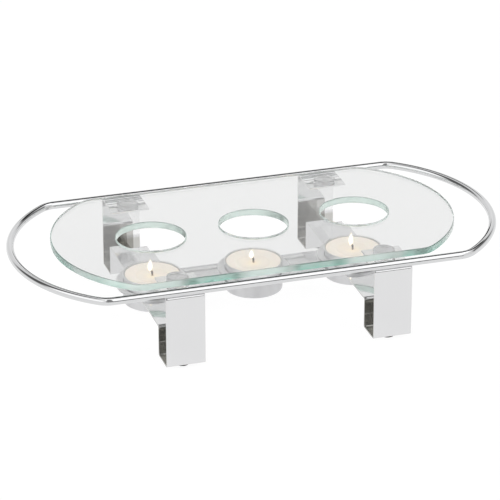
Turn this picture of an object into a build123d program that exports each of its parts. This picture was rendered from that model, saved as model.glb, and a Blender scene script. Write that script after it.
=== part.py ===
from build123d import *
from math import cos, radians, sin, sqrt
import os

# A food warmer for three tealights: a clear glass plate with a hole over each flame lies loose on four bent
# strip legs. A closed rod rail around the glass stiffens the legs and gives a handle at each end.
# Millimetres. X runs along the row of tealights, the front is towards -Y and Z = 0 is the table top.

# Tealight shell, wax, wick and wick clip
TEALIGHT_H = 15.6  # base to top of the rim
TEALIGHT_BASE_D = 35.6  # outside of the shell at its base
TEALIGHT_TOP_D = 36.8  # outside of the shell at its rim
TEALIGHT_RIM_D = 38.0  # over the rolled rim
RIM_H = 0.9
RIM_ROUND = 0.3
SHELL_WALL = 0.3
WAX_DROP = 0.7  # rim to the wax where it meets the shell
WAX_DISH = 1.5  # how far the middle of the wax lies below its edge
WICK_D = 1.4
WICK_STRAIGHT = 2.0  # straight stretch above the wax
WICK_CURL_R = 3.2
WICK_CURL = 55.0  # degrees
CLIP_D = 13.0
CLIP_T = 0.4
CLIP_NECK_D = 2.8
CLIP_NECK_H = 5.0  # from the base of the clip

# Cups that hold the tealights
CUP_PITCH = 67.5
CUP_SHEET = 0.6
CUP_CLEARANCE = 0.3  # between tealight and cup, all round
CUP_FLANGE_W = 4.0
TEALIGHT_PROUD = 4.6  # tealight rim above the top of the flange

# Bent strip legs and the flat links between the cups
STRIP_W = 25.0
STRIP_T = 1.0
BEND_R = 0.8  # inside of each bend
LEG_SPAN = 154.6  # over the outer faces of front and back legs
LEG_H = 47.5  # underside of the bottom plate to the top of the tab
LEG_DEPTH = 19.0  # over the outer and inner plates
SHELF_H = 20.8  # underside of the bottom plate to the top of the shelf
TAB_LEN = 26.0  # outer face of the leg to the end of the tab
NOTCH_CLEARANCE = 0.15  # between a strip's hollowed end and the cup it meets

# Feet and glass pads
FOOT_D = 10.0
FOOT_BASE_D = 8.8
FOOT_H = 2.8
PAD_D = 14.0
PAD_H = 2.7
PAD_ROUND = 0.5
PAD_INSET = 0.6  # end of the tab to the edge of the pad

# Rod rail
RAIL_D = 5.0
RAIL_L = 319.0  # over both ends
RAIL_BULGE = 44.5  # how far an end stands out past the straight sides
RAIL_CORNER_R = 15.0  # centre line of the tight bends
RAIL_OVERHANG = 0.6  # rod's centre line past the flat of the tabs, out over their bend

# Glass plate
GLASS_T = 4.5
SIDE_GAP = 4.9  # long edge of the glass to the rail
HANDLE_GAP = 23.3  # end of the glass to the rail, room for the fingers
GLASS_BULGE = 41.8
GLASS_CORNER_R = 15.0
GLASS_ROUND = 0.6  # ground edges
HOLE_PITCH = 68.0
HOLE_CLEARANCE = 3.0  # radius of a hole past that of the tealight's rim, which is lifted through it

# Levels
bend_outer_r = BEND_R + STRIP_T
strip_z = FOOT_H
shelf_z = strip_z + SHELF_H
tab_z = strip_z + LEG_H
flange_z = shelf_z + CUP_SHEET
tealight_z = flange_z + TEALIGHT_PROUD - TEALIGHT_H
glass_z = tab_z + PAD_H
rail_z = tab_z - bend_outer_r + sqrt((bend_outer_r + RAIL_D / 2) ** 2 - RAIL_OVERHANG**2)

# Places
SIDES_X = {"left": -1, "right": 1}
SIDES_Y = {"front": -1, "back": 1}
CUPS_X = {"left": -CUP_PITCH, "middle": 0.0, "right": CUP_PITCH}
HOLES_X = (-HOLE_PITCH, 0.0, HOLE_PITCH)
leg_y = LEG_SPAN / 2
foot_y = leg_y - LEG_DEPTH / 2
pad_y = leg_y - TAB_LEN + PAD_INSET + PAD_D / 2
rail_half_width = leg_y - bend_outer_r + RAIL_OVERHANG  # the rod lies on the bend above the outer plates
rail_half_length = (RAIL_L - RAIL_D) / 2
glass_half_width = rail_half_width - RAIL_D / 2 - SIDE_GAP
glass_half_length = rail_half_length - RAIL_D / 2 - HANDLE_GAP

# Tealight and cup radii
shell_base_r = TEALIGHT_BASE_D / 2
shell_top_r = TEALIGHT_TOP_D / 2
shell_base_round = 2 * SHELL_WALL
shell_slope = (shell_top_r - shell_base_r) / TEALIGHT_H
cup_base_r = shell_base_r + CUP_CLEARANCE
cup_top_r = cup_base_r + shell_slope * (flange_z - tealight_z)
cup_outer_r = cup_top_r + CUP_SHEET
flange_r = cup_outer_r + CUP_FLANGE_W
notch_r = cup_outer_r + NOTCH_CLEARANCE
hole_r = TEALIGHT_RIM_D / 2 + HOLE_CLEARANCE


def spun(*outline):
    """Solid of revolution about Z from the edges of a closed outline in radius and height."""
    return revolve(Plane.XZ * make_face(outline), axis=Axis.Z)


def circles(solid, radius, height):
    """Circular edges of a solid at one radius and height."""
    near = 1e-4
    edges = solid.edges().filter_by(GeomType.CIRCLE)
    return [e for e in edges if abs(e.radius - radius) < near and abs(e.arc_center.Z - height) < near]


def oval(half_length, half_width, bulge, corner_r):
    """Edges of a closed outline: straight long sides, a wide arc at each end and tight bends between them."""
    straight = half_length - bulge
    end_r = (bulge**2 + half_width**2 - 2 * half_width * corner_r) / (2 * (bulge - corner_r))
    end_centre = Vector(half_length - end_r, 0)
    corner_centre = Vector(straight, half_width - corner_r)
    meet = end_centre + (corner_centre - end_centre).normalized() * end_r
    right = [
        Line((0, half_width), (straight, half_width)),
        TangentArc((straight, half_width), (meet.X, meet.Y), tangent=(1, 0)),
        ThreePointArc((meet.X, meet.Y), (half_length, 0), (meet.X, -meet.Y)),
        TangentArc((straight, -half_width), (meet.X, -meet.Y), tangent=(1, 0)),
        Line((straight, -half_width), (0, -half_width)),
    ]
    return right + [edge.mirror(Plane.YZ) for edge in right]


def glass_plate():
    """Oval plate with a hole over each tealight and its edges ground round."""
    outline = oval(glass_half_length, glass_half_width, GLASS_BULGE, GLASS_CORNER_R)
    plate = extrude(make_face(outline), GLASS_T)
    for x in HOLES_X:
        plate -= Pos(x, 0, GLASS_T / 2) * Cylinder(hole_r, GLASS_T)
    levels = plate.edges().group_by(Axis.Z)
    plate = fillet(levels[0] + levels[-1], GLASS_ROUND)
    return Pos(0, 0, glass_z) * plate


def rail():
    """Round rod bent to a closed loop, its joint welded and polished away."""
    loop = Wire(oval(rail_half_length, rail_half_width, RAIL_BULGE, RAIL_CORNER_R))
    start = Plane(origin=(0, rail_half_width, 0), z_dir=(1, 0, 0))
    return Pos(0, 0, rail_z) * sweep(start * Circle(RAIL_D / 2), path=loop)


def cup_room(x):
    """Space that a strip leaves free for the cup at x."""
    return Pos(x, 0, shelf_z - STRIP_T / 2) * Cylinder(notch_r, 2 * STRIP_T)


def leg(side_x, side_y):
    """One strip bent to tab, outer plate, bottom plate, inner plate and shelf, hollowed at the cup."""
    half = STRIP_T / 2
    outer_y = leg_y - half
    inner_y = leg_y - LEG_DEPTH + half
    profile = [
        (leg_y - TAB_LEN, tab_z - half),
        (outer_y, tab_z - half),
        (outer_y, strip_z + half),
        (inner_y, strip_z + half),
        (inner_y, shelf_z - half),
        (0, shelf_z - half),
    ]
    x = side_x * CUP_PITCH
    route = FilletPolyline([(x, side_y * y, z) for y, z in profile], radius=BEND_R + half)
    start = Plane(origin=route @ 0, x_dir=(1, 0, 0), z_dir=route % 0)
    strip = sweep(start * Rectangle(STRIP_W, STRIP_T), path=route)
    return strip - cup_room(x)


def link(side_x):
    """Flat strip from the middle cup to the cup beside it, hollowed at both ends."""
    x = side_x * CUP_PITCH
    strip = Pos(x / 2, 0, shelf_z - STRIP_T / 2) * Box(CUP_PITCH, STRIP_W, STRIP_T)
    return strip - cup_room(0) - cup_room(x)


def cup():
    """Drawn cup with a flat flange that lies on the ends of the strips."""
    floor_z = tealight_z - CUP_SHEET
    solid = spun(
        Polyline(
            (0, floor_z),
            (cup_base_r + CUP_SHEET, floor_z),
            (cup_outer_r, shelf_z),
            (flange_r, shelf_z),
            (flange_r, flange_z),
            (cup_top_r, flange_z),
            (cup_base_r, tealight_z),
            (0, tealight_z),
            close=True,
        )
    )
    solid = fillet(circles(solid, cup_base_r, tealight_z), shell_base_round)
    return fillet(circles(solid, cup_base_r + CUP_SHEET, floor_z), shell_base_round + CUP_SHEET)


def pad():
    """Clear disc on a tab, rounded where the glass lies on it."""
    disc = Cylinder(PAD_D / 2, PAD_H, align=(Align.CENTER, Align.CENTER, Align.MIN))
    return fillet(circles(disc, PAD_D / 2, PAD_H), PAD_ROUND)


def foot():
    """Small soft foot, wider where it is stuck to the strip."""
    return Cone(FOOT_BASE_D / 2, FOOT_D / 2, FOOT_H, align=(Align.CENTER, Align.CENTER, Align.MIN))


# The tealight pieces are made with the shell's base at the origin.
inner_slope = (shell_top_r - shell_base_r) / (TEALIGHT_H - SHELL_WALL)
wax_edge_z = TEALIGHT_H - WAX_DROP
wax_edge_r = shell_base_r - SHELL_WALL + inner_slope * (wax_edge_z - SHELL_WALL)
wax_middle_z = wax_edge_z - WAX_DISH
clip_top_z = SHELL_WALL + CLIP_T
neck_top_z = SHELL_WALL + CLIP_NECK_H


def rod(radius, low, high):
    """Upright round bar on the Z axis between two heights."""
    return Pos(0, 0, (low + high) / 2) * Cylinder(radius, high - low)


def shell():
    """Pressed aluminium shell with a rolled rim."""
    rim_r = TEALIGHT_RIM_D / 2
    under_rim_z = TEALIGHT_H - RIM_H
    solid = spun(
        Polyline(
            (0, 0),
            (shell_base_r, 0),
            (shell_base_r + shell_slope * under_rim_z, under_rim_z),
            (rim_r, under_rim_z),
            (rim_r, TEALIGHT_H),
            (shell_top_r - SHELL_WALL, TEALIGHT_H),
            (shell_base_r - SHELL_WALL, SHELL_WALL),
            (0, SHELL_WALL),
            close=True,
        )
    )
    rim = circles(solid, rim_r, TEALIGHT_H) + circles(solid, rim_r, under_rim_z)
    solid = fillet(rim, RIM_ROUND)
    return fillet(circles(solid, shell_base_r, 0), shell_base_round)


def wick_clip():
    """Tin disc on the floor of the shell with a neck that grips the wick."""
    disc = rod(CLIP_D / 2, SHELL_WALL, clip_top_z)
    neck = rod(CLIP_NECK_D / 2, clip_top_z, neck_top_z)
    return disc + neck - rod(WICK_D / 2, clip_top_z, neck_top_z)


def wick():
    """Cotton wick, straight in the wax and curled over at its burnt end."""
    curl_z = wax_middle_z + WICK_STRAIGHT
    straight = Line((0, 0, clip_top_z), (0, 0, curl_z))
    half_turn = radians(WICK_CURL / 2)
    end_turn = radians(WICK_CURL)
    curl = ThreePointArc(
        (0, 0, curl_z),
        (-WICK_CURL_R * (1 - cos(half_turn)), 0, curl_z + WICK_CURL_R * sin(half_turn)),
        (-WICK_CURL_R * (1 - cos(end_turn)), 0, curl_z + WICK_CURL_R * sin(end_turn)),
    )
    start = Plane(origin=(0, 0, clip_top_z))
    return sweep(start * Circle(WICK_D / 2), path=Wire([straight, curl]))


def wax():
    """Wax cast round the clip and the wick, dished where it has melted."""
    quarter_z = wax_middle_z + WAX_DISH / 4
    sides = Polyline(
        (0, wax_middle_z),
        (0, SHELL_WALL),
        (shell_base_r - SHELL_WALL, SHELL_WALL),
        (wax_edge_r, wax_edge_z),
    )
    top = ThreePointArc((wax_edge_r, wax_edge_z), (wax_edge_r / 2, quarter_z), (0, wax_middle_z))
    cast = spun(*sides.edges(), top)
    cast -= rod(CLIP_D / 2, SHELL_WALL, clip_top_z)
    cast -= rod(CLIP_NECK_D / 2, clip_top_z, neck_top_z)
    return cast - rod(WICK_D / 2, neck_top_z, wax_edge_z)


nodes = {"glass_plate": glass_plate(), "rail": rail()}
for name_x, side_x in SIDES_X.items():
    x = side_x * CUP_PITCH
    nodes[f"link_{name_x}"] = link(side_x)
    for name_y, side_y in SIDES_Y.items():
        corner = f"{name_y}_{name_x}"
        nodes[f"leg_{corner}"] = leg(side_x, side_y)
        nodes[f"pad_{corner}"] = Pos(x, side_y * pad_y, tab_z) * pad()
        nodes[f"foot_{corner}"] = Pos(x, side_y * foot_y, 0) * foot()
for name, x in CUPS_X.items():
    nodes[f"cup_{name}"] = Pos(x, 0, 0) * cup()
    place = Pos(x, 0, tealight_z)
    nodes[f"shell_{name}"] = place * shell()
    nodes[f"wax_{name}"] = place * wax()
    nodes[f"wick_{name}"] = place * wick()
    nodes[f"wick_clip_{name}"] = place * wick_clip()

os.makedirs("parts", exist_ok=True)
for name, solid in nodes.items():
    export_step(solid, f"parts/{name}.step")
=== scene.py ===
from math import atan2, ceil, cos, degrees, exp, pi, radians, sin, sqrt, tan, tau

import bmesh
import bpy
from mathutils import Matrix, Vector


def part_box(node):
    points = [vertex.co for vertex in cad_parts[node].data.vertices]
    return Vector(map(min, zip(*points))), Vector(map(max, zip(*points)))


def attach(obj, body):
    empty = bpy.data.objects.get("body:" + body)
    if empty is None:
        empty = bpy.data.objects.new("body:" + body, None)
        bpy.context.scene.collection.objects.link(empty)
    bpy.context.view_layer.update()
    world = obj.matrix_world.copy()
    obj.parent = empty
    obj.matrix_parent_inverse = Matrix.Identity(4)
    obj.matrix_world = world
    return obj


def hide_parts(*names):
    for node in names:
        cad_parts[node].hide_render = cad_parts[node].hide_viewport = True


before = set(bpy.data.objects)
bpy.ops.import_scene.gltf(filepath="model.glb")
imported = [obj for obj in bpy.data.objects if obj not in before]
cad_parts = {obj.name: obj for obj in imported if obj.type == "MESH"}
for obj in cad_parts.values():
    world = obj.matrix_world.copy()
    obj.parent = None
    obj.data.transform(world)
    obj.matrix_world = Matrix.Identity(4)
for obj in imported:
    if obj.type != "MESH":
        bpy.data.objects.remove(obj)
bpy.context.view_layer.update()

# Feet: four small soft discs under the bottom plates of the legs.
# Moulded in dark rubber, a little wider at the top, where each is stuck to the strip by its flat face.
mm = 0.001
foot_low, foot_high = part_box("foot_front_left")
foot_h = foot_high.z
foot_r = (foot_high.x - foot_low.x) / 2
FOOT_BASE_R = 4.4 * mm
FOOT_ROUND = 0.5 * mm
FOOT_LIP = 0.15 * mm
CORE_R = 1.0 * mm  # flat end at the axis of a turned piece
RUBBER_GRAIN = 0.03 * mm
RUBBER_DARK = (0.010, 0.010, 0.011, 1)
RUBBER_DUSTY = (0.030, 0.030, 0.032, 1)
CORNERS = ("front_left", "front_right", "back_left", "back_right")


def rounded(corners, turn=9.0):
    """Points along straight runs between (x, y, radius) corners, with an arc of each corner's radius.
    Points on an arc are at most turn degrees apart."""
    points = []
    for i, (x, y, radius) in enumerate(corners):
        here = Vector((x, y))
        if not radius:
            points.append(here)
            continue
        back = (Vector(corners[i - 1][:2]) - here).normalized()
        ahead = (Vector(corners[i + 1][:2]) - here).normalized()
        opening = back.angle(ahead)
        centre = here + (back + ahead).normalized() * radius / sin(opening / 2)
        spoke = here + back * radius / tan(opening / 2) - centre
        sweep = pi - opening
        if back.x * ahead.y - back.y * ahead.x > 0:
            sweep = -sweep
        steps = max(2, ceil(abs(degrees(sweep)) / turn))
        for k in range(steps + 1):
            c, s = cos(sweep * k / steps), sin(sweep * k / steps)
            points.append(centre + Vector((spoke.x * c - spoke.y * s, spoke.x * s + spoke.y * c)))
    return points


def shaded(mesh, crease=35.0, plane_area=None):
    """Smooth shading with a crease at edges sharper than that many degrees.
    Faces larger than plane_area stay flat, as plates are."""
    mesh.set_sharp_from_angle(angle=radians(crease))
    smooth = [plane_area is None or face.area < plane_area for face in mesh.polygons]
    mesh.polygons.foreach_set("use_smooth", smooth)
    return mesh


def skin(name, loops, joined=False):
    """Mesh through a row of loops with equal numbers of points, closed at both ends or joined to itself."""
    count = len(loops[0])
    points = [point for loop in loops for point in loop]
    faces = []
    for row in range(len(loops) if joined else len(loops) - 1):
        a = row * count
        b = (row + 1) % len(loops) * count
        for i in range(count):
            j = (i + 1) % count
            faces.append((a + i, a + j, b + j, b + i))
    if not joined:
        faces.append(range(count))
        faces.append(range(len(points) - count, len(points)))
    solid = bmesh.new()
    verts = [solid.verts.new(point) for point in points]
    for face in faces:
        solid.faces.new([verts[i] for i in face])
    bmesh.ops.recalc_face_normals(solid, faces=solid.faces)
    mesh = bpy.data.meshes.new(name)
    solid.to_mesh(mesh)
    solid.free()
    return mesh


def turned(name, outline, segments=96):
    """Mesh turned about the upright axis from the (radius, height) points of its outline."""
    ring = [(cos(tau * k / segments), sin(tau * k / segments)) for k in range(segments)]
    return shaded(skin(name, [[(r * c, r * s, z) for c, s in ring] for r, z in outline]))


def put(name, mesh, place, body, slot, *nodes, turn=0.0):
    """One piece in its place in the frame, riding on its body and standing for its CAD nodes."""
    piece = bpy.data.objects.new(name, mesh)
    bpy.context.scene.collection.objects.link(piece)
    piece.location = place
    piece.rotation_euler.z = turn
    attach(piece, body)
    if nodes:
        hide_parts(*nodes)
    return piece


class Wire:
    """An output of a shader node. Sums, differences and products of wires and numbers add Math nodes."""

    def __init__(self, tree, socket=None):
        self.tree = tree
        self.socket = socket

    def node(self, kind, settings, sockets, output=0):
        """A node of any type: its settings are set first, then its sockets get their values or wires."""
        new = self.tree.nodes.new("ShaderNode" + kind)
        for name, value in settings.items():
            if name == "stops":
                while len(new.color_ramp.elements) < len(value):
                    new.color_ramp.elements.new(1.0)
                for element, (position, colour) in zip(new.color_ramp.elements, value):
                    element.position = position
                    element.color = colour
            else:
                setattr(new, name, value)
        for name, value in sockets.items():
            if isinstance(value, Wire):
                self.tree.links.new(value.socket, new.inputs[name])
            else:
                new.inputs[name].default_value = value
        return Wire(self.tree, new.outputs[output])

    def math(self, operation, first, second=0.0):
        return self.node("Math", {"operation": operation}, {0: first, 1: second})

    def __add__(self, other):
        return self.math("ADD", self, other)

    def __sub__(self, other):
        return self.math("SUBTRACT", self, other)

    def __rsub__(self, other):
        return self.math("SUBTRACT", other, self)

    def __mul__(self, other):
        return self.math("MULTIPLY", self, other)

    def __abs__(self):
        return self.math("ABSOLUTE", self)

    __radd__ = __add__
    __rmul__ = __mul__

    def between(self, low, high):
        """0 below low and 1 above high, with a smooth change from one to the other."""
        settings = {"interpolation_type": "SMOOTHSTEP"}
        return self.node("MapRange", settings, {"Value": self, "From Min": low, "From Max": high})

    def stretched(self, x, y, z):
        return self.node("VectorMath", {"operation": "MULTIPLY"}, {0: self, 1: (x, y, z)})

    def axis(self, letter):
        return self.node("SeparateXYZ", {}, {"Vector": self}, letter)

    def level_length(self):
        """Distance from the upright axis."""
        return self.node("VectorMath", {"operation": "LENGTH"}, {0: self.stretched(1, 1, 0)}, "Value")

    def noise(self, scale, detail=2.0):
        return self.node("TexNoise", {}, {"Vector": self, "Scale": scale, "Detail": detail})

    def mix(self, first, second):
        """First colour where this wire is 0 and second where it is 1."""
        return self.node("Mix", {"data_type": "RGBA"}, {0: self, 6: first, 7: second}, 2)

    def bump(self, depth):
        """Surface normal for heights from 0 to 1 that stand for a relief of that depth."""
        return self.node("Bump", {}, {"Height": self, "Distance": depth})


def finished(name, fixed, paint):
    """Material with fixed values on its Principled shader. What paint returns varies over the surface."""
    material = bpy.data.materials.new(name)
    material.use_nodes = True
    tree = material.node_tree
    shader = tree.nodes["Principled BSDF"]
    for socket, value in fixed.items():
        shader.inputs[socket].default_value = value
    place = Wire(tree).node("TexCoord", {}, {}, "Object")
    facing = Wire(tree).node("TexCoord", {}, {}, "Normal")
    for socket, wire in paint(place, facing).items():
        tree.links.new(wire.socket, shader.inputs[socket])
    return material


def dusty_rubber(place, facing):
    dust = place.noise(900.0, 4.0)
    grain = place.noise(5200.0)
    return {
        "Base Color": dust.between(0.45, 0.75).mix(RUBBER_DARK, RUBBER_DUSTY),
        "Roughness": 0.55 + 0.3 * dust,
        "Normal": grain.bump(RUBBER_GRAIN),
    }


rubber = finished("dark_rubber", {"Specular IOR Level": 0.1}, dusty_rubber)
foot_mesh = turned("rubber_foot", rounded([
    (CORE_R, 0.0, 0),
    (FOOT_BASE_R, 0.0, FOOT_ROUND),
    (foot_r, foot_h, FOOT_LIP),
    (CORE_R, foot_h, 0),
]), segments=48)
foot_mesh.materials.append(rubber)
for corner in CORNERS:
    low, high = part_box(f"foot_{corner}")
    centre = ((low.x + high.x) / 2, (low.y + high.y) / 2, 0)
    put(f"rubber_foot_{corner}", foot_mesh, centre, "frame", "dark_rubber", f"foot_{corner}")

# Legs: four strips, each bent to a top tab, outer plate, bottom plate, inner plate and a shelf to its cup.
# Stainless steel strip, sheared to length with its end hollowed round the cup, and folded.
# Mirror polished after that. Painted light makes it brighter under the glass, and painted shade darkens the
# inside of the fold.
leg_low, leg_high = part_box("leg_back_right")
link_low, link_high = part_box("link_right")
cup_x = (leg_low.x + leg_high.x) / 2
leg_y = leg_high.y
strip_w = leg_high.x - leg_low.x
strip_t = link_high.z - link_low.z
shelf_z = link_high.z
tab_z = leg_high.z
LEG_DEPTH = 19.0 * mm
TAB_LEN = 26.0 * mm
BEND_R = 0.8 * mm
NOTCH_R = 19.27 * mm
EDGE_ROUND = 0.13 * mm
SHEARED = radians(60)  # edges that turn by more are sheared ones
PLATE_AREA = 3.0 * mm**2  # larger faces belong to flat plates
STRIP_COLUMNS = 16
POLISH_WAVE = 0.02 * mm
STEEL_LIGHT = (0.74, 0.74, 0.745, 1)
STEEL_DEEP = (0.71, 0.71, 0.718, 1)
# Painted light for the faces under the glass; the dull colour is painted shade inside the fold and the real
# dull sheared edges.
STEEL_PAINTED_BRIGHT = (0.93, 0.93, 0.932, 1)
STEEL_DULL_AND_SHADE = (0.57, 0.565, 0.545, 1)


def hollowed(across):
    """How far from a cup's axis the end of a strip lies, at that distance from the strip's middle."""
    return sqrt(NOTCH_R**2 - across**2)


def strip(name, route, start, end):
    """Strip along a route of (along, up) points, with start and end giving the line of its two ends."""
    solid = bmesh.new()
    rows = []
    last = len(route) - 1
    for i, here in enumerate(route):
        run = (route[min(i + 1, last)] - route[max(i - 1, 0)]).normalized()
        out = Vector((-run.y, run.x)) * strip_t / 2
        row = []
        for j in range(STRIP_COLUMNS + 1):
            across = strip_w * (j / STRIP_COLUMNS - 0.5)
            along = start(across) if i == 0 else end(across) if i == last else here.x
            upper = solid.verts.new((across, along + out.x, here.y + out.y))
            lower = solid.verts.new((across, along - out.x, here.y - out.y))
            row.append((upper, lower))
        rows.append(row)
    for one, other in zip(rows, rows[1:]):
        for j in range(STRIP_COLUMNS):
            for side in (0, 1):
                solid.faces.new((one[j][side], one[j + 1][side], other[j + 1][side], other[j][side]))
        for j in (0, STRIP_COLUMNS):
            solid.faces.new((one[j][0], one[j][1], other[j][1], other[j][0]))
    for row in (rows[0], rows[-1]):
        for one, other in zip(row, row[1:]):
            solid.faces.new((one[0], one[1], other[1], other[0]))
    bmesh.ops.recalc_face_normals(solid, faces=solid.faces)
    sheared = [edge for edge in solid.edges if edge.calc_face_angle() > SHEARED]
    bmesh.ops.bevel(solid, geom=sheared, offset=EDGE_ROUND, segments=2, profile=0.5, affect="EDGES")
    mesh = bpy.data.meshes.new(name)
    solid.to_mesh(mesh)
    solid.free()
    return shaded(mesh, crease=40.0, plane_area=PLATE_AREA)


def polished_steel(place, facing):
    """Painted light brightens the tab and the inner faces above the shelf, under the glass, and painted
    shade darkens the inside of the fold. Sheared edges are dull.
    """
    reach, height = place.axis("Y"), place.axis("Z")
    inner_y = leg_y - LEG_DEPTH
    # Painted shade: the inside of the fold is darker.
    painted_fold_shade = reach.between(inner_y + 0.3 * strip_t, inner_y + 0.7 * strip_t)
    painted_fold_shade = painted_fold_shade * (1 - reach.between(leg_y - 0.7 * strip_t, leg_y - 0.3 * strip_t))
    painted_fold_shade = painted_fold_shade * (1 - height.between(shelf_z - 2 * strip_t, shelf_z))
    outward = facing.axis("Y").between(0.3, 0.7)
    # Painted light: the tab and the inner faces above the shelf, under the glass, are brighter.
    painted_light_under_glass = height.between(shelf_z, shelf_z + 2 * strip_t) * (1 - outward)
    cut = abs(facing.axis("X")).between(0.6, 0.9)
    haze = place.noise(35.0, 3.0)
    lines = place.stretched(2600.0, 60.0, 60.0).noise(1.0, 3.0)
    metal = painted_light_under_glass.mix(haze.mix(STEEL_DEEP, STEEL_LIGHT), STEEL_PAINTED_BRIGHT)
    return {
        "Base Color": (painted_fold_shade + 0.7 * cut).mix(metal, STEEL_DULL_AND_SHADE),
        "Roughness": 0.025 + 0.03 * haze + 0.02 * lines + 0.2 * cut,
        "Normal": (0.8 * haze + 0.04 * lines).bump(POLISH_WAVE),
    }


steel = finished("polished_steel", {"Metallic": 0.96}, polished_steel)
strip_mid = strip_t / 2
leg_route = rounded([
    (leg_y - TAB_LEN, tab_z - strip_mid, 0),
    (leg_y - strip_mid, tab_z - strip_mid, BEND_R + strip_mid),
    (leg_y - strip_mid, leg_low.z + strip_mid, BEND_R + strip_mid),
    (leg_y - LEG_DEPTH + strip_mid, leg_low.z + strip_mid, BEND_R + strip_mid),
    (leg_y - LEG_DEPTH + strip_mid, shelf_z - strip_mid, BEND_R + strip_mid),
    (hollowed(0), shelf_z - strip_mid, 0),
])
leg_mesh = strip("bent_leg", leg_route, lambda across: leg_y - TAB_LEN, hollowed)
leg_mesh.materials.append(steel)
for corner in CORNERS:
    x = cup_x if corner.endswith("right") else -cup_x
    turn = pi if corner.startswith("front") else 0.0
    put(f"bent_leg_{corner}", leg_mesh, (x, 0, 0), "frame", "polished_strip", f"leg_{corner}", turn=turn)

# Links: two flat strips that join the middle cup to its neighbours.
# The same polished strip as the legs, hollowed at both ends and welded under the flanges of the cups.
link_route = [Vector((along, shelf_z - strip_mid)) for along in (hollowed(0), cup_x - hollowed(0))]
link_mesh = strip("flat_link", link_route, hollowed, lambda across: cup_x - hollowed(across))
link_mesh.materials.append(steel)
for side, turn in (("left", pi / 2), ("right", -pi / 2)):
    put(f"flat_link_{side}", link_mesh, (0, 0, 0), "frame", "polished_strip", f"link_{side}", turn=turn)

# Cups: three round cups with a flat flange, one for each tealight.
# Drawn from thin steel sheet, spun to a satin finish, with the flange welded on the ends of the strips.
cup_low, cup_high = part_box("cup_middle")
flange_r = (cup_high.x - cup_low.x) / 2
flange_z = cup_high.z
CUP_SHEET = 0.6 * mm
CUP_BASE_R = 18.1 * mm
CUP_TOP_R = 18.52 * mm
CUP_CORE_R = 2.0 * mm
CUP_BEND_R = 0.6 * mm
FLANGE_BEND_R = 0.4 * mm
FLANGE_UNDER_R = 0.2 * mm
FLANGE_EDGE_R = 0.18 * mm
SPUN_RELIEF = 0.004 * mm
CUPS = {"left": -cup_x, "middle": 0.0, "right": cup_x}
# Painted light: the lighter colour on the top of the flange stands for the light it catches.
FLANGE_PAINTED_LIGHT = (0.90, 0.90, 0.905, 1)
SATIN_LIGHT = (0.76, 0.76, 0.77, 1)
SATIN_DEEP = (0.66, 0.66, 0.668, 1)


def satin_steel(place, facing):
    radius = place.level_length()
    height = place.axis("Z")
    spun_lines = place.node("TexNoise", {"noise_dimensions": "1D"}, {
        "W": 9000.0 * (radius + height), "Scale": 1.0, "Detail": 2.0})
    haze = place.noise(90.0, 3.0)
    # Painted light: the upward faces of the flange are lighter and less metallic than the rest of the cup.
    painted_flange_light = facing.axis("Z").between(0.5, 0.9) * height.between(flange_z - CUP_SHEET, flange_z)
    return {
        "Base Color": painted_flange_light.mix(haze.mix(SATIN_DEEP, SATIN_LIGHT), FLANGE_PAINTED_LIGHT),
        "Metallic": 1 - 0.55 * painted_flange_light,
        "Roughness": 0.36 + 0.08 * haze + 0.06 * spun_lines,
        "Normal": spun_lines.bump(SPUN_RELIEF),
    }


satin = finished("satin_steel", {"Anisotropic": 0.9, "Anisotropic Rotation": 0.25}, satin_steel)
cup_mesh = turned("drawn_cup", rounded([
    (CUP_CORE_R, cup_low.z + CUP_SHEET, 0),
    (CUP_BASE_R, cup_low.z + CUP_SHEET, CUP_BEND_R),
    (CUP_TOP_R, flange_z, FLANGE_BEND_R),
    (flange_r, flange_z, FLANGE_EDGE_R),
    (flange_r, flange_z - CUP_SHEET, FLANGE_EDGE_R),
    (CUP_TOP_R + CUP_SHEET, flange_z - CUP_SHEET, FLANGE_UNDER_R),
    (CUP_BASE_R + CUP_SHEET, cup_low.z, CUP_BEND_R + CUP_SHEET),
    (CUP_CORE_R, cup_low.z, 0),
]), segments=128)
cup_mesh.materials.append(satin)
for side, x in CUPS.items():
    put(f"drawn_cup_{side}", cup_mesh, (x, 0, 0), "frame", "satin_cup", f"cup_{side}")

# Rail: one closed loop of round rod round the glass, its two ends are the carrying handles.
# Steel rod bent in a jig, butt welded, ground flush, welded on the bends of the legs and chrome plated.
rail_low, rail_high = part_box("rail")
rail_r = (rail_high.z - rail_low.z) / 2
rail_z = (rail_high.z + rail_low.z) / 2
RAIL_BULGE = 44.5 * mm
RAIL_CORNER_R = 15.0 * mm
ROD_POINTS = 40
ARC_STEPS = 24
CHROME_WAVE = 0.012 * mm
CHROME_LIGHT = (0.69, 0.693, 0.70, 1)
CHROME_DEEP = (0.65, 0.653, 0.66, 1)


def oval(half_length, half_width, bulge, corner_r):
    """(x, y, angle of the outward normal) round straight sides, tight bends and a wide arc at each end."""
    straight = half_length - bulge
    end_r = (bulge**2 + half_width**2 - 2 * half_width * corner_r) / (2 * (bulge - corner_r))
    lean = atan2(half_width - corner_r, straight - half_length + end_r)
    quarter = []
    for k in range(ARC_STEPS):
        a = lean * k / ARC_STEPS
        quarter.append((half_length - end_r + end_r * cos(a), end_r * sin(a), a))
    for k in range(ARC_STEPS + 1):
        a = lean + (pi / 2 - lean) * k / ARC_STEPS
        quarter.append((straight + corner_r * cos(a), half_width - corner_r + corner_r * sin(a), a))
    upper = quarter + [(-x, y, pi - a) for x, y, a in reversed(quarter)]
    return upper + [(-x, -y, a + pi) for x, y, a in upper[1:-1]]


def bright_chrome(place, facing):
    haze = place.noise(60.0, 3.0)
    wave = place.noise(140.0, 1.0)
    return {
        "Base Color": haze.mix(CHROME_DEEP, CHROME_LIGHT),
        "Roughness": 0.02 + 0.04 * haze,
        "Normal": wave.bump(CHROME_WAVE),
    }


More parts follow.
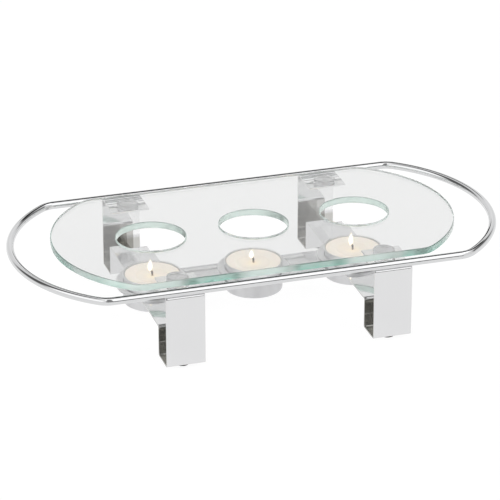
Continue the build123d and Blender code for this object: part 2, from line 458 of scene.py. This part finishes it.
chrome = finished("bright_chrome", {"Metallic": 1.0}, bright_chrome)
rod_loops = []
for x, y, a in oval(rail_high.x - rail_r, rail_high.y - rail_r, RAIL_BULGE, RAIL_CORNER_R):
    loop = []
    for k in range(ROD_POINTS):
        out, up = rail_r * cos(tau * k / ROD_POINTS), rail_r * sin(tau * k / ROD_POINTS)
        loop.append((x + out * cos(a), y + out * sin(a), rail_z + up))
    rod_loops.append(loop)
rail_mesh = shaded(skin("rod_rail", rod_loops, joined=True))
rail_mesh.materials.append(chrome)
put("rod_rail", rail_mesh, (0, 0, 0), "frame", "chromed_rod", "rail")

# Pads: four clear discs on the tabs that carry the glass and keep it from slipping.
# Moulded in clear silicone, self adhesive underneath, rounded where the glass lies on them.
pad_low, pad_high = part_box("pad_front_left")
pad_r = (pad_high.x - pad_low.x) / 2
pad_h = pad_high.z - pad_low.z
PAD_AIR = 0.05 * mm  # keeps the pad's faces out of the planes of glass and tab
PAD_ROUND = 0.8 * mm
PAD_LIP = 0.15 * mm
SILICONE_RELIEF = 0.003 * mm
SILICONE_LIGHT = (0.99, 0.99, 0.99, 1)
SILICONE_DEEP = (0.95, 0.955, 0.955, 1)


def soft_silicone(place, facing):
    haze = place.noise(500.0, 3.0)
    return {
        "Base Color": haze.mix(SILICONE_DEEP, SILICONE_LIGHT),
        "Roughness": 0.1 + 0.08 * haze,
        "Normal": haze.bump(SILICONE_RELIEF),
    }


silicone = finished("clear_silicone", {"Transmission Weight": 0.88, "IOR": 1.41}, soft_silicone)
pad_mesh = turned("silicone_pad", rounded([
    (CORE_R, PAD_AIR, 0),
    (pad_r, PAD_AIR, PAD_LIP),
    (pad_r, pad_h - PAD_AIR, PAD_ROUND),
    (CORE_R, pad_h - PAD_AIR, 0),
]), segments=64)
pad_mesh.materials.append(silicone)
for corner in CORNERS:
    low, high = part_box(f"pad_{corner}")
    centre = ((low.x + high.x) / 2, (low.y + high.y) / 2, low.z)
    put(f"silicone_pad_{corner}", pad_mesh, centre, "frame", "clear_silicone", f"pad_{corner}")

# Glass plate: long oval plate with wide end arcs and a round hole over each flame.
# Clear toughened glass, sawn and drilled before it was hardened, its edges ground to a pale green satin.
glass_low, glass_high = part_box("glass_plate")
GLASS_BULGE = 41.8 * mm
GLASS_CORNER_R = 15.0 * mm
GLASS_ROUND = 0.6 * mm
HOLE_R = 22.0 * mm
HOLE_PITCH = 68.0 * mm
HOLE_POINTS = 128
GLASS_TINT = (0.808, 0.813, 0.811, 1)
GLASS_TINT_THIN = (0.828, 0.831, 0.830, 1)
EDGE_PALE = (0.97, 1.0, 0.98, 1)
# The teal is painted light, standing for light seen through the glass.
EDGE_PAINTED_TEAL = (0.33, 0.76, 0.62, 1)
BAND_PITCH = 70.0 * mm
BAND_SHIFT = 12.0 * mm
HOLE_FADE = 2.0 * mm
HOLE_PAINTED_TEAL = 0.3  # share of painted teal in the holes, where there are no bands
BACK_PALE = (35 * mm, 62 * mm)  # along Y, where the painted green gives way to pale towards the back
END_PALE = (-130 * mm, -124 * mm)  # along X, where the painted green turns pale beside the left end
END_DEEP = (-105 * mm, -85 * mm)  # and where the painted green comes back along the front
GRIND_RELIEF = 0.0002 * mm


def clear_face(place, facing):
    film = place.noise(30.0, 3.0)
    return {
        "Base Color": film.mix(GLASS_TINT, GLASS_TINT_THIN),
        "Roughness": 0.012 * film.between(0.45, 0.8),
    }


def ground_edge(place, facing):
    """Painted light: green bands stand for light seen through the glass at its edge, with pale between
    them.
    The back and the part beside the left end are pale too, the lower part greener, and the holes an even
    painted light green."""
    x, y = place.axis("X"), place.axis("Y")
    # Painted light: bands of green along X stand for light travelling through the glass.
    painted_band = 0.5 - 0.5 * place.math("COSINE", (x + BAND_SHIFT) * (tau / BAND_PITCH))
    depth = 0.2 + 0.7 * painted_band.between(0.35, 0.75)
    depth = depth * (1 - y.between(*BACK_PALE))
    depth = depth * (1 - 0.6 * x.between(*END_PALE) * (1 - x.between(*END_DEEP)))
    height = place.axis("Z").between(glass_low.z, glass_high.z)
    streaks = place.stretched(160.0, 160.0, 30.0).noise(1.0, 2.0)
    depth = depth * (1 - 0.35 * height) * (0.6 + 0.8 * streaks)
    row_end = HOLE_PITCH + HOLE_R
    in_row = 1 - abs(x).between(row_end, row_end + HOLE_FADE)
    in_hole = in_row * (1 - abs(y).between(HOLE_R, HOLE_R + HOLE_FADE))
    depth = (1 - in_hole) * depth + HOLE_PAINTED_TEAL * in_hole
    grind = place.stretched(900.0, 900.0, 5000.0).noise(1.0, 2.0)
    return {
        "Base Color": depth.mix(EDGE_PALE, EDGE_PAINTED_TEAL),
        "Roughness": 0.16 + 0.08 * grind,
        "Normal": grind.bump(GRIND_RELIEF),
    }


clear = finished("clear_glass", {"Transmission Weight": 1.0, "IOR": 1.52}, clear_face)
ground = finished("ground_glass", {"Transmission Weight": 0.68, "IOR": 1.52}, ground_edge)
edge_section = rounded([
    (3 * GLASS_ROUND, glass_low.z, 0),
    (0, glass_low.z, GLASS_ROUND),
    (0, glass_high.z, GLASS_ROUND),
    (3 * GLASS_ROUND, glass_high.z, 0),
])[1:-1]
outline = oval(glass_high.x, glass_high.y, GLASS_BULGE, GLASS_CORNER_R)
rims = [[[(x - inset * cos(a), y - inset * sin(a), z) for x, y, a in outline] for inset, z in edge_section]]
for x in (-HOLE_PITCH, 0.0, HOLE_PITCH):
    turns = [tau * k / HOLE_POINTS for k in range(HOLE_POINTS)]
    rims.append([
        [(x + (HOLE_R + inset) * cos(a), (HOLE_R + inset) * sin(a), z) for a in turns]
        for inset, z in edge_section
    ])
plate = bmesh.new()
faces_to_fill = {0: [], -1: []}
for loops in rims:
    rows = [[plate.verts.new(point) for point in loop] for loop in loops]
    for one, other in zip(rows, rows[1:]):
        for i in range(len(one)):
            face = plate.faces.new((one[i - 1], one[i], other[i], other[i - 1]))
            face.smooth = True
            face.material_index = 1
    for end, edges in faces_to_fill.items():
        edges += [plate.edges.get((rows[end][i - 1], rows[end][i])) for i in range(len(rows[end]))]
for edges in faces_to_fill.values():
    bmesh.ops.triangle_fill(plate, use_beauty=True, edges=edges)
bmesh.ops.recalc_face_normals(plate, faces=plate.faces)
glass_mesh = bpy.data.meshes.new("oval_glass")
plate.to_mesh(glass_mesh)
plate.free()
glass_mesh.materials.append(clear)
glass_mesh.materials.append(ground)
put("oval_glass", glass_mesh, (0, 0, 0), "glass", "clear_glass", "glass_plate")

# Tealight shells: thin round cups with fine flutes round the wall and a rolled rim.
# Pressed from bright aluminium foil, they stand loose in the steel cups.
shell_low, shell_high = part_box("shell_middle")
shell_h = shell_high.z - shell_low.z
rim_r = (shell_high.x - shell_low.x) / 2
SHELL_BASE_R = 17.8 * mm
SHELL_TOP_R = 18.4 * mm
SHELL_WALL = 0.3 * mm
SHELL_CORE_R = 2.0 * mm
SHELL_BEND_R = 0.6 * mm
SHELL_BEND_IN = 0.4 * mm
RIM_H = 0.9 * mm
RIM_ROLL_R = 0.4 * mm
RIM_TUCK = 0.03 * mm  # how far the wall draws in under the rim
RIM_TUCK_R = 0.1 * mm
FOIL_RUN = 1.2 * mm  # longest straight run between the rings of the mesh
FLUTES = 54
FLUTE_POINTS = 8
FLUTE_DEPTH = 0.04 * mm
FLUTE_FOOT = (1.0 * mm, 2.5 * mm)  # heights between which the flutes begin
FLUTE_HEAD = (2.4 * mm, 1.2 * mm)  # distances from the top between which they end
FOIL_DENT = 0.012 * mm
FOIL_LIGHT = (0.88, 0.88, 0.885, 1)
FOIL_DEEP = (0.80, 0.80, 0.806, 1)


def divided(points, length):
    """The same line with points added so that no run is longer than length."""
    out = [points[0]]
    for one, other in zip(points, points[1:]):
        parts = max(1, ceil((other - one).length / length))
        out += [one.lerp(other, k / parts) for k in range(1, parts + 1)]
    return out


def eased(value, low, high):
    """0 below low and 1 above high, with a smooth change from one to the other."""
    t = min(1.0, max(0.0, (value - low) / (high - low)))
    return t * t * (3 - 2 * t)


def bright_foil(place, facing):
    haze = place.noise(220.0, 3.0)
    dents = place.noise(420.0, 1.0)
    return {
        "Base Color": haze.mix(FOIL_DEEP, FOIL_LIGHT),
        "Roughness": 0.24 + 0.12 * haze,
        "Normal": dents.bump(FOIL_DENT),
    }


foil = finished("bright_foil", {"Metallic": 0.9}, bright_foil)
shell_outline = divided(rounded([
    (SHELL_CORE_R, 0, 0),
    (SHELL_BASE_R, 0, SHELL_BEND_R),
    (SHELL_TOP_R - RIM_TUCK, shell_h - RIM_H, RIM_TUCK_R),
    (rim_r, shell_h - RIM_H, RIM_ROLL_R),
    (rim_r, shell_h, RIM_ROLL_R),
    (SHELL_TOP_R - SHELL_WALL, shell_h, SHELL_WALL),
    (SHELL_BASE_R - SHELL_WALL, SHELL_WALL, SHELL_BEND_IN),
    (SHELL_CORE_R, SHELL_WALL, 0),
]), FOIL_RUN)
flute_turns = [tau * k / (FLUTES * FLUTE_POINTS) for k in range(FLUTES * FLUTE_POINTS)]
shell_loops = []
for r, z in shell_outline:
    wall = eased(z, *FLUTE_FOOT) * (1 - eased(z, *(shell_h - drop for drop in FLUTE_HEAD)))
    loop = []
    for a in flute_turns:
        fluted = r - FLUTE_DEPTH * wall * (0.5 - 0.5 * cos(FLUTES * a))
        loop.append((fluted * cos(a), fluted * sin(a), z))
    shell_loops.append(loop)
shell_mesh = shaded(skin("foil_shell", shell_loops), crease=50.0)
shell_mesh.materials.append(foil)
for side, x in CUPS.items():
    put(f"foil_shell_{side}", shell_mesh, (x, 0, shell_low.z), f"tealight_{side}",
        "tealight_aluminium", f"shell_{side}")

# Wick clips: small discs on the floor of each shell, with a neck that grips the wick.
# Stamped from tinned sheet, drowned in the wax, so the CAD nodes stay and get the metal.
TIN_LIGHT = (0.66, 0.66, 0.66, 1)
TIN_DULL = (0.48, 0.48, 0.49, 1)
TIN_RELIEF = 0.01 * mm


def dull_tin(place, facing):
    flecks = place.noise(700.0, 4.0)
    return {
        "Base Color": flecks.mix(TIN_DULL, TIN_LIGHT),
        "Roughness": 0.3 + 0.25 * flecks,
        "Normal": flecks.bump(TIN_RELIEF),
    }


tin = finished("dull_tin", {"Metallic": 1.0}, dull_tin)
for side in CUPS:
    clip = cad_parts[f"wick_clip_{side}"]
    clip.data.materials.clear()
    clip.data.materials.append(tin)

# Wax: the fill of each shell, a little below its rim.
# White paraffin with a clear melted pool round the wick, drawn up where it wets the shell and the wick.
wax_low, wax_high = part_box("wax_middle")
WAX_DISH = 1.5 * mm
WAX_RINGS = 40
WAX_HOLE_R = 0.5 * mm  # left for the wick
SHELL_CREEP = (0.25 * mm, 0.5 * mm)  # height and reach of the wax drawn up the shell
WICK_CREEP = (0.45 * mm, 0.6 * mm)  # and up the wick
POOL_R = 11.0 * mm
POOL_STEP = 0.12 * mm
POOL_BANK = (0.8 * mm, 0.4 * mm)  # how far the step reaches inside and outside that radius
POOL_FADE = (1.0 * mm, 0.6 * mm)  # how far the clear wax fades inside and outside it
POOL_WOBBLE = 2.0 * mm
GLOW_REACH = (0.5 * mm, 7.0 * mm)  # radii between which the glow round the wick dies away
RIM_SHADE_REACH = (0.7 * mm, 0.2 * mm)  # distances from its edge between which the painted shade comes in
WAX_AIR = 0.02 * mm  # keeps the wax off the face of the shell
WAX_CRYSTALS = 0.02 * mm
WAX_WHITE = (0.93, 0.87, 0.80, 1)
WAX_POOL = (0.94, 0.86, 0.76, 1)
WAX_GLOW = (0.98, 0.88, 0.70, 1)
WAX_SHINE = (0.30, 0.25, 0.20, 1)  # light of the flame that the wax gives back
WAX_SHINE_NEAR = (0.38, 0.30, 0.21, 1)
WAX_RIM_SHADE = (0.40, 0.37, 0.34, 1)  # painted shade where the wax meets the shell
NO_SHINE = (0, 0, 0, 1)
wax_edge_z = wax_high.z - shell_low.z
wax_edge_r = (wax_high.x - wax_low.x) / 2 - WAX_AIR


def white_paraffin(place, facing):
    radius = place.level_length()
    cloud = place.noise(160.0, 4.0)
    wobble = radius + POOL_WOBBLE * (cloud - 0.5)
    solid = wobble.between(POOL_R - POOL_FADE[0], POOL_R + POOL_FADE[1])
    glow = 1 - radius.between(*GLOW_REACH)
    pool_colour = glow.mix(WAX_POOL, WAX_GLOW)
    top_colour = (solid * (0.75 + 0.25 * cloud)).mix(pool_colour, WAX_WHITE)
    crystals = place.noise(2600.0, 3.0)
    # Painted shade: a darker ring, without the flame's light, where the wax meets the shell.
    rim = radius.between(*(wax_edge_r - inset for inset in RIM_SHADE_REACH))
    return {
        "Base Color": rim.mix(top_colour, WAX_RIM_SHADE),
        "Roughness": 0.12 + 0.33 * solid + 0.1 * cloud,
        "Emission Color": rim.mix(glow.mix(WAX_SHINE, WAX_SHINE_NEAR), NO_SHINE),
        "Normal": (solid * crystals).bump(WAX_CRYSTALS),
    }


paraffin = finished("white_paraffin", {
    "Subsurface Weight": 0.35,
    "Subsurface Radius": (1.0, 0.7, 0.45),
    "Subsurface Scale": 2.0 * mm,
    "IOR": 1.44,
    "Emission Strength": 1.0,
}, white_paraffin)
wax_outline = []
for k in range(WAX_RINGS + 1):
    r = WAX_HOLE_R + (wax_edge_r - WAX_HOLE_R) * k / WAX_RINGS
    z = wax_edge_z - WAX_DISH + WAX_DISH * (r / wax_edge_r) ** 2
    z -= POOL_STEP * (1 - eased(r, POOL_R - POOL_BANK[0], POOL_R + POOL_BANK[1]))
    for (rise, reach), gap in ((SHELL_CREEP, wax_edge_r - r), (WICK_CREEP, r - WAX_HOLE_R)):
        z += rise * exp(-gap / reach)
    wax_outline.append((r, z))
wax_outline += [(SHELL_BASE_R - SHELL_WALL, SHELL_WALL), (CORE_R, SHELL_WALL)]
wax_mesh = turned("paraffin", wax_outline)
wax_mesh.materials.append(paraffin)
for side, x in CUPS.items():
    put(f"paraffin_{side}", wax_mesh, (x, 0, shell_low.z), f"tealight_{side}", "white_wax", f"wax_{side}")

# Wicks: cotton cords held upright by the clips, curled over at the burnt end.
# Three strands twisted together, soaked in wax at the foot and charred above it.
STRANDS = 3
STRAND_R = 0.38 * mm
STRAND_OFFSET = 0.32 * mm
STRAND_RINGS = 90
STRAND_POINTS = 10
TWIST_PITCH = 2.4 * mm
TIP_LENGTH = 1.2 * mm
TIP_THINNING = 0.45
FIBRE_RELIEF = 0.1 * mm
WICK_FOOT_Z = 0.7 * mm
WICK_BARE = 2.0 * mm  # straight length above the wax
WICK_CURL_R = 3.2 * mm
WICK_CURL = radians(55.0)
CHAR_FADE = (1.0 * mm, 1.2 * mm)  # how far the char fades below and above the start of the curl
CHAR_RAGGED = 1.2 * mm
CHAR = (0.012, 0.008, 0.006, 1)
SOAKED = (0.34, 0.22, 0.12, 1)
wick_curl_z = wax_edge_z - WAX_DISH + WICK_BARE
wick_length = wick_curl_z - WICK_FOOT_Z + WICK_CURL_R * WICK_CURL


def wick_line(s):
    """Point of the wick's middle line at that length from its foot, and the direction in which it bends."""
    bend = max(0.0, (s - (wick_curl_z - WICK_FOOT_Z)) / WICK_CURL_R)
    straight = min(s, wick_curl_z - WICK_FOOT_Z)
    point = Vector((-WICK_CURL_R * (1 - cos(bend)), 0, WICK_FOOT_Z + straight + WICK_CURL_R * sin(bend)))
    return point, Vector((-cos(bend), 0, -sin(bend)))


def charred_cotton(place, facing):
    height = place.axis("Z")
    fibres = place.noise(2200.0, 4.0)
    ragged = height + CHAR_RAGGED * fibres
    burnt = ragged.between(wick_curl_z - CHAR_FADE[0], wick_curl_z + CHAR_FADE[1])
    return {
        "Base Color": burnt.mix(SOAKED, CHAR),
        "Roughness": 0.45 + 0.5 * burnt,
        "Normal": fibres.bump(FIBRE_RELIEF),
    }


cotton = finished("charred_cotton", {"Specular IOR Level": 0.3}, charred_cotton)
wick_mesh = bpy.data.meshes.new("twisted_wick")
cord = bmesh.new()
side_dir = Vector((0, 1, 0))
strand_turns = [tau * k / STRAND_POINTS for k in range(STRAND_POINTS)]
for strand in range(STRANDS):
    loops = []
    for i in range(STRAND_RINGS + 1):
        s = wick_length * i / STRAND_RINGS
        middle, inwards = wick_line(s)
        twist = tau * (s / TWIST_PITCH + strand / STRANDS)
        centre = middle + STRAND_OFFSET * (cos(twist) * inwards + sin(twist) * side_dir)
        thin = STRAND_R * (1 - TIP_THINNING * eased(s, wick_length - TIP_LENGTH, wick_length))
        loops.append([centre + thin * (cos(a) * inwards + sin(a) * side_dir) for a in strand_turns])
    one_strand = skin("strand", loops)
    cord.from_mesh(one_strand)
    bpy.data.meshes.remove(one_strand)
cord.to_mesh(wick_mesh)
cord.free()
shaded(wick_mesh, crease=60.0)
wick_mesh.materials.append(cotton)
for side, x in CUPS.items():
    put(f"twisted_wick_{side}", wick_mesh, (x, 0, shell_low.z), f"tealight_{side}",
        "cotton_wick", f"wick_{side}")

# Flames: one small still flame on each lit wick.
# A bright core in a paler mantle, drawn as two shells of light, and carried by its tealight.
FLAME_W = 4.6 * mm
FLAME_H = 9.2 * mm
FLAME_LEAN = 0.3 * mm
FLAME_DROP = 1.4 * mm  # its foot below the tip of the wick
FLAME_ASIDE = 0.1 * mm
FLAME_RINGS = 33
FLAME_POINTS = 32
FLAME_TALL = {"left": 1.0, "middle": 0.72, "right": 1.06}
CORE_SHARE = 0.62
NO_COLOUR = {"Base Color": (0, 0, 0, 1), "Specular IOR Level": 0.0}
wick_tip = wick_line(wick_length)[0]
flame_z = wick_tip.z - FLAME_DROP
flame_x = wick_tip.x - FLAME_ASIDE


def flame_mesh(name, share):
    """Teardrop of a flame, widest below its middle, at a share of the full width."""
    loops = []
    turns = [tau * k / FLAME_POINTS for k in range(FLAME_POINTS)]
    for i in range(1, FLAME_RINGS):
        t = i / FLAME_RINGS
        swell = sin(pi * t**0.72) ** 0.9 * (1 - 0.25 * t)
        radius = FLAME_W / 2 * share * swell
        z = FLAME_H * (t * (0.55 + 0.45 * share) + 0.12 * (1 - share))
        lean = FLAME_LEAN * t**2
        loops.append([(lean + radius * cos(a), radius * sin(a), z) for a in turns])
    return shaded(skin(name, loops), crease=80.0)


def flame_light(foot, middle, tip):
    """Paint for a flame whose light changes from its foot to its tip."""
    def paint(place, facing):
        height = place.axis("Z") * (1 / FLAME_H)
        stops = [(0.0, foot), (0.35, middle), (0.75, middle), (1.0, tip)]
        return {"Emission Color": height.node("ValToRGB", {"stops": stops}, {"Fac": height}, "Color")}
    return paint


mantle = finished(
    "flame_mantle", NO_COLOUR | {"Emission Strength": 1.3, "Alpha": 0.45},
    flame_light(foot=(1.0, 0.72, 0.40, 1), middle=(1.0, 0.94, 0.80, 1), tip=(1.0, 0.90, 0.68, 1)))
core = finished(
    "flame_core", NO_COLOUR | {"Emission Strength": 3.0},
    flame_light(foot=(1.0, 0.80, 0.50, 1), middle=(1.0, 0.98, 0.92, 1), tip=(1.0, 0.95, 0.82, 1)))
mantle_mesh = flame_mesh("flame_mantle", 1.0)
mantle_mesh.materials.append(mantle)
core_mesh = flame_mesh("flame_core", CORE_SHARE)
core_mesh.materials.append(core)
for side, x in CUPS.items():
    foot = (x + flame_x, 0, shell_low.z + flame_z)
    for part, mesh in (("mantle", mantle_mesh), ("core", core_mesh)):
        flame = put(f"flame_{part}_{side}", mesh, foot, f"tealight_{side}", None)
        flame.scale.z = FLAME_TALL[side]

# Floor: the plain pale table that the warmer stands on.
# A wide sheet of white acrylic lit from below, part of the studio and not of the object.
FLOOR_HALF = 6.0
FLOOR_GLOW = 0.92
ACRYLIC_DEEP = (0.11, 0.11, 0.11, 1)
ACRYLIC_LIGHT = (0.13, 0.13, 0.13, 1)
WHITE = (1, 1, 1, 1)


def lit_acrylic(place, facing):
    tone = place.noise(0.6, 2.0)
    return {
        "Base Color": tone.mix(ACRYLIC_DEEP, ACRYLIC_LIGHT),
        "Roughness": 0.8 + 0.15 * tone,
    }


floor_mesh = bpy.data.meshes.new("white_table")
floor_corners = [(x * FLOOR_HALF, y * FLOOR_HALF, 0) for x, y in ((-1, -1), (1, -1), (1, 1), (-1, 1))]
floor_mesh.from_pydata(floor_corners, [], [(0, 1, 2, 3)])
floor_mesh.materials.append(finished("lit_acrylic", {
    "Specular IOR Level": 0.0,
    "Emission Color": WHITE,
    "Emission Strength": FLOOR_GLOW,
}, lit_acrylic))
floor = bpy.data.objects.new("white_table", floor_mesh)
bpy.context.scene.collection.objects.link(floor)

# Light: an even white tent over the table with brighter panels on the left, right, overhead and in front.
# Dark flags between them give the polished metal its dark lines, and one gap lights what lies level.
# The camera itself sees only white behind the table.
TENT_BRIGHT = 0.92
HORIZON = (radians(-3), radians(-1))
# In degrees: azimuth, 0 at the back and 90 on the right, elevation, half width, half height and soft edge.
# Brightness comes last. A later panel hangs in front of those before it.
PANELS = (
    (-109, 32, 40, 16, 9, 1.5),  # soft box on the left
    (125, 60, 83, 9, 7, 1.9),  # long light high on the right
    (0, 90, 190, 13, 3, 1.3),  # overhead
    (-53, 41, 20, 34, 8, 0.13),  # dark flag at the back on the left
    (73, 26, 25, 10, 6, 0.17),  # dark flag on the right
    (28, 51.5, 27, 20.5, 1.5, 0.02),  # black flag high at the back
    (185, 33, 15, 47, 4, 0.3),  # grey flag behind the camera
    (15, 8, 9, 11, 1.5, 0.03),  # black flag low at the back
    (15, 24.5, 12, 5, 1.5, 1.0),  # the gap between the two at the back
    (163, 7, 10, 8, 2, 0.05),  # black flag low in front
    (160, 38, 12, 15, 3, 1.5),  # soft box in front
)
world = bpy.data.worlds.new("light_tent")
world.use_nodes = True
studio = Wire(world.node_tree)
direction = studio.node("TexCoord", {}, {}, "Generated")
elevation = studio.math("ARCSINE", direction.axis("Z"))


def level_part(x, y):
    """How far the light's direction points along a level line."""
    return studio.node("VectorMath", {"operation": "DOT_PRODUCT"}, {0: direction, 1: (x, y, 0)}, "Value")


def within(angle, half, soft):
    """1 where an angle is less than half on either side, with a soft end."""
    return 1 - abs(angle).between(radians(half - soft), radians(half + soft))


shine = TENT_BRIGHT
for azimuth, height, half_w, half_h, soft, bright in PANELS:
    c, s = cos(radians(azimuth)), sin(radians(azimuth))
    aside = studio.math("ARCTAN2", level_part(c, -s), level_part(s, c))
    share = within(aside, half_w, soft) * within(elevation - radians(height), half_h, soft)
    shine = shine * (1 - share) + bright * share
table = 1 - elevation.between(*HORIZON)
seen = studio.node("LightPath", {}, {}, "Is Camera Ray")
strength = seen + (1 - seen) * (table + (1 - table) * shine)
background = world.node_tree.nodes["Background"]
background.inputs["Color"].default_value = WHITE
world.node_tree.links.new(strength.socket, background.inputs["Strength"])
bpy.context.scene.world = world
bpy.context.scene.view_settings.view_transform = "Standard"
bpy.context.scene.cycles.blur_glossy = 0.0  # light passes the glass unblurred, to what lies under it
bpy.context.scene.cycles.glossy_bounces = 12  # and goes to and fro between the polished plates
bpy.context.scene.cycles.transmission_bounces = 32  # and along the glass from edge to edge
bpy.context.scene.cycles.max_bounces = 32

# Camera: in front of the warmer, a little to its left and above it, with a long lens.
# Its angle, distance and lens are those of the photograph.
CAMERA_AZIMUTH = radians(-17.26)
CAMERA_ELEVATION = radians(24.49)
CAMERA_DISTANCE = 1.85106
CAMERA_AIM = Vector((-0.00234, 0.0, 0.03885))
FOCAL_PIXELS = 2884.94
PHOTO_PIXELS = 500
eye = bpy.data.cameras.new("studio_camera")
eye.sensor_width = 36.0
eye.lens = FOCAL_PIXELS * eye.sensor_width / PHOTO_PIXELS
camera = bpy.data.objects.new("studio_camera", eye)
bpy.context.scene.collection.objects.link(camera)
away = Vector((
    sin(CAMERA_AZIMUTH) * cos(CAMERA_ELEVATION),
    -cos(CAMERA_AZIMUTH) * cos(CAMERA_ELEVATION),
    sin(CAMERA_ELEVATION),
))
camera.location = CAMERA_AIM + away * CAMERA_DISTANCE
camera.rotation_euler = (-away).to_track_quat("-Z", "Y").to_euler()
bpy.context.scene.camera = camera
